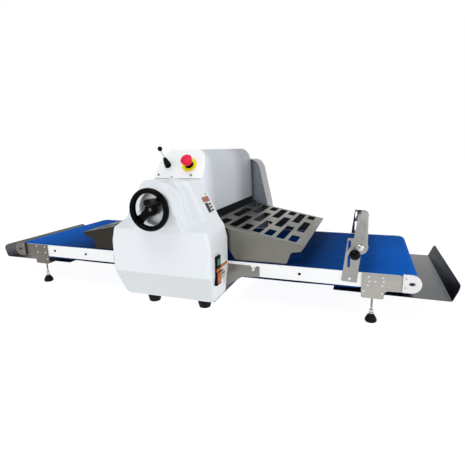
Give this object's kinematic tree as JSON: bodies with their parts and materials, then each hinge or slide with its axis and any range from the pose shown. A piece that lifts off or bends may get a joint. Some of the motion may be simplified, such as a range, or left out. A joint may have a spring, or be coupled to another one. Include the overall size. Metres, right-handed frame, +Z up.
{
  "type": "dough sheeter",
  "caption": "Bench-top dough sheeter: handwheel-set rollers between two belt tables, with tilting guards, catch trays, joystick, emergency stop and take-up roller.",
  "frame": {"origin": "on the bench plane, under the middle of the machine's outer box", "axes": "+X along the belts to the take-up roller's table, +Y from the handwheel side to the rear, +Z up"},
  "size_m": [1.835, 1, 0.568],
  "materials": {
    "white_shell": "smooth semi-gloss moulding",
    "white_paint": "fine powder coat",
    "grey_paint": "satin paint",
    "stainless": "brushed stainless sheet",
    "chrome": "polished",
    "steel": "ground steel",
    "blue_belt": "matt food-grade belt",
    "black_plastic": "moulded, semi-gloss",
    "black_rubber": "matt",
    "white_plastic": "machined plastic",
    "dial_grey": "spun face",
    "red_plastic": "gloss",
    "green_plastic": "gloss",
    "motor_grey": "satin paint"
  },
  "bodies": {
    "frame": {"front_cover": "white_shell", "rear_cover": "white_shell", "roller_cover": "white_paint", "control_panel": "white_paint", "left_table_bed": "white_paint", "right_table_bed": "white_paint", "front_side_plate": "grey_paint", "rear_side_plate": "grey_paint", "base_pan": "steel", "drive_chain": "steel", "left_table_support": "stainless", "right_table_support": "stainless", "lower_scraper": "stainless", "left_end_bracket": "stainless", "right_end_bracket": "stainless", "left_tray": "stainless", "right_tray": "stainless", "take_up_upright_front": "stainless", "take_up_upright_rear": "stainless", "housing_foot_left_front": "black_rubber", "housing_foot_left_rear": "black_rubber", "housing_foot_right_front": "black_rubber", "housing_foot_right_rear": "black_rubber", "power_inlet": "black_plastic", "estop_collar": "black_plastic", "switch_plate": "black_plastic", "left_belt": "blue_belt", "right_belt": "blue_belt", "left_bearing_plate_front": "white_plastic", "left_bearing_plate_rear": "white_plastic", "right_bearing_plate_front": "white_plastic", "right_bearing_plate_rear": "white_plastic", "dial_plate": "dial_grey", "gear_motor": "motor_grey"},
    "handwheel": {"handwheel": "black_plastic", "lift_shaft": "steel"},
    "wheel_grip": {"wheel_grip": "black_plastic"},
    "roller_carriage": {"hanger_front": "steel", "hanger_rear": "steel"},
    "upper_roller": {"upper_roller": "steel"},
    "lower_roller": {"lower_roller": "steel"},
    "left_drive_roller": {"left_drive_roller": "steel"},
    "right_drive_roller": {"right_drive_roller": "steel"},
    "left_end_roller": {"left_end_roller": "steel"},
    "right_end_roller": {"right_end_roller": "steel"},
    "motor_output": {"motor_sprocket": "steel"},
    "joystick": {"joystick_lever": "chrome", "joystick_boot": "black_rubber"},
    "estop_button": {"estop_button": "red_plastic"},
    "start_button": {"start_button": "green_plastic"},
    "stop_button": {"stop_button": "red_plastic"},
    "left_guard": {"left_guard": "stainless"},
    "right_guard": {"right_guard": "stainless"},
    "take_up_carrier": {"take_up_axle": "stainless"},
    "take_up_roller": {"take_up_roller": "stainless"},
    "take_up_clamp": {"take_up_clamp": "chrome"},
    "left_support_foot_front": {"left_support_foot_front": "black_rubber"},
    "left_support_foot_rear": {"left_support_foot_rear": "black_rubber"},
    "right_support_foot_front": {"right_support_foot_front": "black_rubber"},
    "right_support_foot_rear": {"right_support_foot_rear": "black_rubber"}
  },
  "joints": [
    {"name": "handwheel_turn", "type": "hinge", "parent": "frame", "child": "handwheel", "pos_m": [0, -0.42, 0.375], "axis": [0, 1, 0], "range_deg": [-45, 255]},
    {"name": "grip_spin", "type": "hinge", "parent": "handwheel", "child": "wheel_grip", "pos_m": [0.03773, -0.465, 0.4078], "axis": [0, 1, 0], "continuous": true},
    {"name": "upper_roller_lift", "type": "slide", "parent": "frame", "child": "roller_carriage", "axis": [0, 0, 1], "range_m": [-0.0053, 0.0299]},
    {"name": "upper_roller_spin", "type": "hinge", "parent": "roller_carriage", "child": "upper_roller", "pos_m": [0, 0.07, 0.204], "axis": [0, 1, 0], "continuous": true},
    {"name": "lower_roller_spin", "type": "hinge", "parent": "frame", "child": "lower_roller", "pos_m": [0, 0.07, 0.138], "axis": [0, 1, 0], "continuous": true},
    {"name": "left_drive_roller_spin", "type": "hinge", "parent": "frame", "child": "left_drive_roller", "pos_m": [-0.066, 0.07, 0.1393], "axis": [0, 1, 0], "continuous": true},
    {"name": "left_end_roller_spin", "type": "hinge", "parent": "frame", "child": "left_end_roller", "pos_m": [-0.7798, 0.07, 0.1458], "axis": [0, 1, 0], "continuous": true},
    {"name": "right_drive_roller_spin", "type": "hinge", "parent": "frame", "child": "right_drive_roller", "pos_m": [0.066, 0.07, 0.1393], "axis": [0, 1, 0], "continuous": true},
    {"name": "right_end_roller_spin", "type": "hinge", "parent": "frame", "child": "right_end_roller", "pos_m": [0.7798, 0.07, 0.1458], "axis": [0, 1, 0], "continuous": true},
    {"name": "motor_output_spin", "type": "hinge", "parent": "frame", "child": "motor_output", "pos_m": [-0.1, -0.265, 0.2], "axis": [0, 1, 0], "continuous": true},
    {"name": "joystick_tilt", "type": "hinge", "parent": "frame", "child": "joystick", "pos_m": [-0.053, -0.19625, 0.50829], "axis": [0, 0.6259, 0.7799], "range_deg": [-12, 12], "stiffness_Nm_per_rad": 0.25},
    {"name": "estop_press", "type": "slide", "parent": "frame", "child": "estop_button", "axis": [0, 0.7799, -0.6259], "range_m": [0, 0.0045], "stiffness_N_per_m": 900},
    {"name": "start_press", "type": "slide", "parent": "frame", "child": "start_button", "axis": [-1, 0, 0], "range_m": [0, 0.003], "stiffness_N_per_m": 400},
    {"name": "stop_press", "type": "slide", "parent": "frame", "child": "stop_button", "axis": [-1, 0, 0], "range_m": [0, 0.003], "stiffness_N_per_m": 400},
    {"name": "left_guard_tilt", "type": "hinge", "parent": "frame", "child": "left_guard", "pos_m": [-0.115, 0.07, 0.3008], "axis": [0, 1, 0], "range_deg": [0, 95]},
    {"name": "right_guard_tilt", "type": "hinge", "parent": "frame", "child": "right_guard", "pos_m": [0.115, 0.07, 0.3008], "axis": [0, -1, 0], "range_deg": [0, 95]},
    {"name": "left_support_foot_front_screw", "type": "slide", "parent": "frame", "child": "left_support_foot_front", "axis": [0, 0, 1], "range_m": [0, 0.012]},
    {"name": "left_support_foot_rear_screw", "type": "slide", "parent": "frame", "child": "left_support_foot_rear", "axis": [0, 0, 1], "range_m": [0, 0.012]},
    {"name": "right_support_foot_front_screw", "type": "slide", "parent": "frame", "child": "right_support_foot_front", "axis": [0, 0, 1], "range_m": [0, 0.012]},
    {"name": "right_support_foot_rear_screw", "type": "slide", "parent": "frame", "child": "right_support_foot_rear", "axis": [0, 0, 1], "range_m": [0, 0.012]},
    {"name": "take_up_height", "type": "slide", "parent": "frame", "child": "take_up_carrier", "axis": [0, 0, 1], "range_m": [-0.016, 0.03]},
    {"name": "take_up_roller_spin", "type": "hinge", "parent": "take_up_carrier", "child": "take_up_roller", "pos_m": [0.624, 0.07, 0.252], "axis": [0, 1, 0], "continuous": true},
    {"name": "take_up_clamp_turn", "type": "hinge", "parent": "take_up_carrier", "child": "take_up_clamp", "pos_m": [0.624, -0.235, 0.252], "axis": [0, 1, 0], "range_deg": [-90, 90]}
  ],
  "couplings": [
    {"joint": "upper_roller_lift", "follows": "handwheel_turn", "m_per_rad": 0.0067},
    {"joint": "upper_roller_spin", "follows": "lower_roller_spin", "ratio": -1},
    {"joint": "motor_output_spin", "follows": "lower_roller_spin", "ratio": 1.3},
    {"joint": "left_drive_roller_spin", "follows": "lower_roller_spin", "ratio": 1.1321},
    {"joint": "left_end_roller_spin", "follows": "lower_roller_spin", "ratio": 1.5},
    {"joint": "right_drive_roller_spin", "follows": "lower_roller_spin", "ratio": 1.1321},
    {"joint": "right_end_roller_spin", "follows": "lower_roller_spin", "ratio": 1.5}
  ]
}
